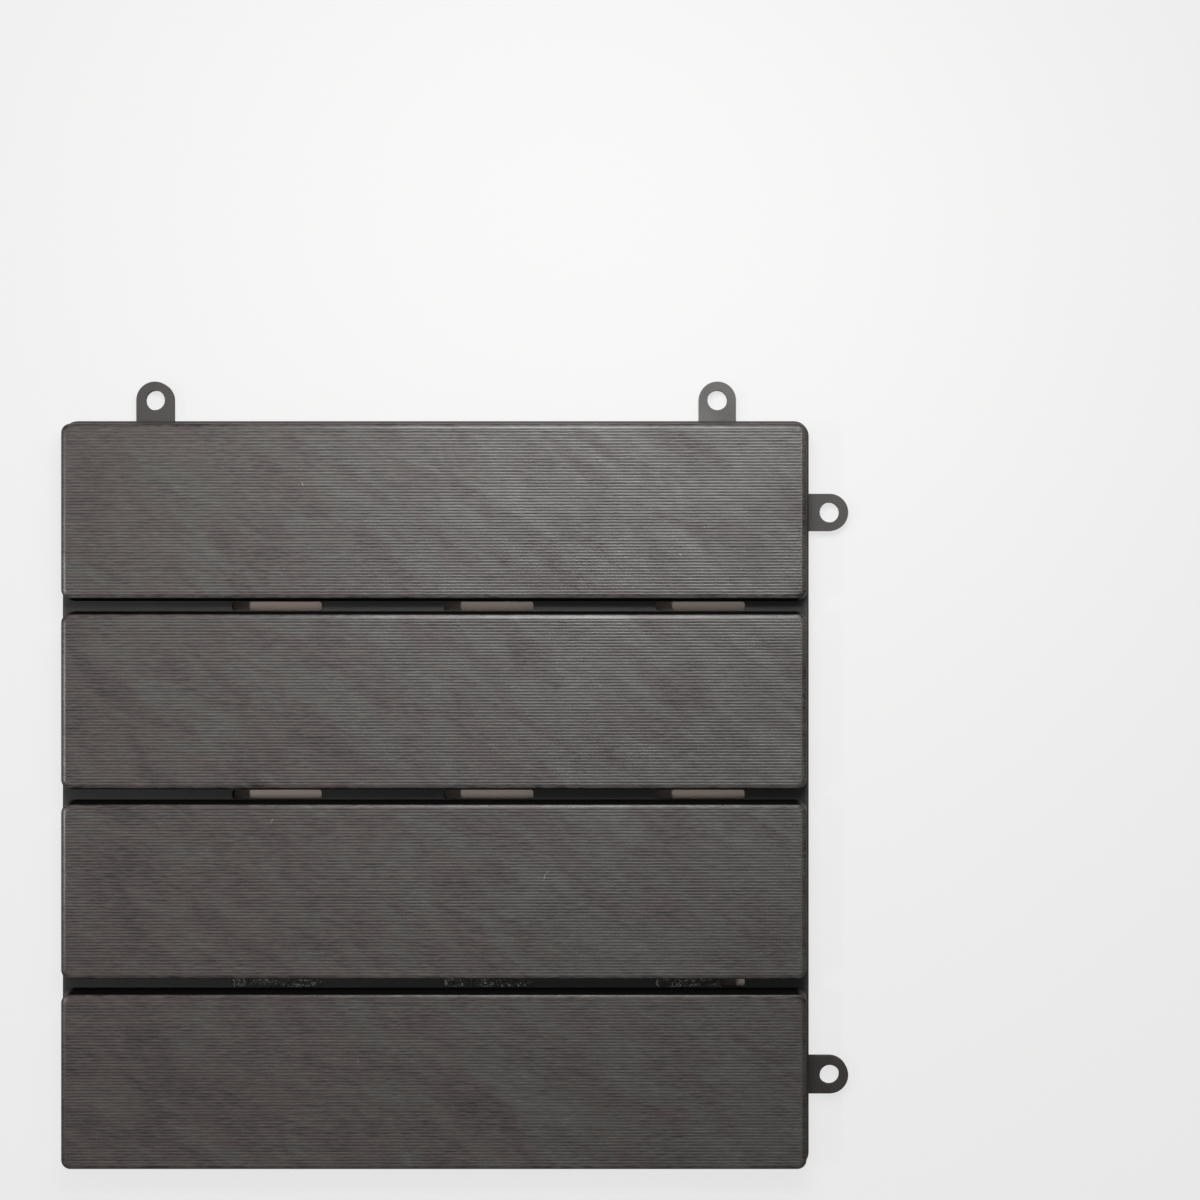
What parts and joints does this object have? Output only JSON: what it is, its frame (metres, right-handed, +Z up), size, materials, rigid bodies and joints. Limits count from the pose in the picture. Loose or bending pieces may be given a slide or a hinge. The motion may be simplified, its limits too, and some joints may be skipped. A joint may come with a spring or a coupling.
{
  "type": "interlocking deck tile",
  "caption": "Square moulded plastic deck tile with ribbed slats, drained channels between them, and loops and pegs that lock it to the next tile.",
  "frame": {"origin": "centre of the tile's square, on the ground that the feet stand on", "axes": "+X along the slats, +Y across them, +Z up; loops stand out on the +X and +Y sides, and the pegs are on the -X and -Y sides"},
  "size_m": [0.3158, 0.3158, 0.016],
  "materials": {
    "moulding": "dark warm grey polypropylene, satin, with fine moulded ribs on the slats"
  },
  "bodies": {
    "root": {"deck_tile": "moulding"}
  },
  "joints": []
}
